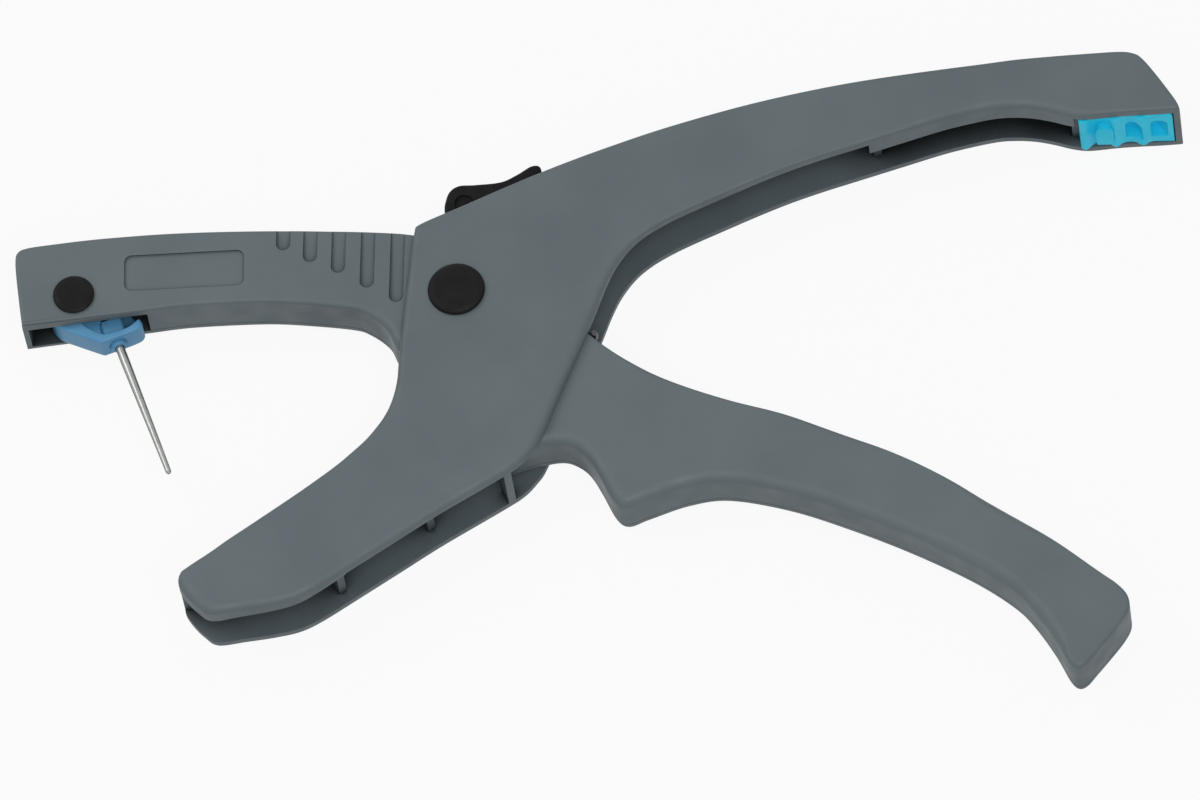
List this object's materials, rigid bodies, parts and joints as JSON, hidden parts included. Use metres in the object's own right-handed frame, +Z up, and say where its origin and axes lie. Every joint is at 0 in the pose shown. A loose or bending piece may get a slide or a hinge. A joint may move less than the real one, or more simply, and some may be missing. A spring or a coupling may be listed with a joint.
{
  "type": "ear tag applicator",
  "caption": "Plier-like hand tool with a swinging spring-loaded needle in the upper jaw, a forked lower jaw, a latch and a sprung pivot, for fitting livestock ear tags.",
  "frame": {"origin": "on the main pivot's axis, in the plane of the far wall, where the pivot shaft's head lies flush", "axes": "+X along the tool towards the handle ends, +Y towards the upper handle, +Z up out of the near wall"},
  "size_m": [0.2812, 0.1641, 0.0206],
  "materials": {
    "frame_plastic": "fine moulded texture, satin",
    "lever_plastic": "fine moulded texture, satin",
    "black_plastic": "satin moulded",
    "blue_metal": "blue coated, satin",
    "needle_steel": "ground and polished",
    "steel": "zinc plated",
    "spring_steel": "dark oiled wire",
    "bronze": "sintered",
    "cyan_rubber": "soft, slightly glossy"
  },
  "bodies": {
    "frame": {"frame_body": "frame_plastic", "pivot_shaft": "steel", "pivot_cap": "black_plastic", "pivot_retaining_ring": "steel", "thrust_washer_near": "steel", "thrust_washer_far": "steel", "lock_pin": "steel", "handle_insert": "cyan_rubber", "return_spring": "spring_steel"},
    "lever": {"lever_body": "lever_plastic", "pivot_bush_near": "bronze", "pivot_bush_far": "bronze", "carrier_pin": "steel", "carrier_pin_cap": "black_plastic", "carrier_pin_clip": "black_plastic", "carrier_washer_near": "steel", "carrier_washer_far": "steel"},
    "carrier": {"needle_carrier": "blue_metal", "needle": "needle_steel", "needle_collar": "blue_metal", "carrier_spring": "spring_steel"},
    "latch": {"lock_lever": "black_plastic"}
  },
  "joints": [
    {"name": "squeeze", "type": "hinge", "parent": "frame", "child": "lever", "pos_m": [0, 0, 0.0095], "axis": [0, 0, 1], "range_deg": [0, 30], "stiffness_Nm_per_rad": 1.2, "springref_deg": -20.05, "deforming": ["return_spring"]},
    {"name": "needle_swing", "type": "hinge", "parent": "lever", "child": "carrier", "pos_m": [-0.093, 0.0024, 0.0095], "axis": [0, 0, 1], "range_deg": [-38, 0], "stiffness_Nm_per_rad": 0.05, "springref_deg": 20.05, "deforming": ["carrier_spring"]},
    {"name": "lock", "type": "hinge", "parent": "frame", "child": "latch", "pos_m": [0.0095, 0.0215, 0.0095], "axis": [0, 0, 1], "range_deg": [0, 22]}
  ]
}
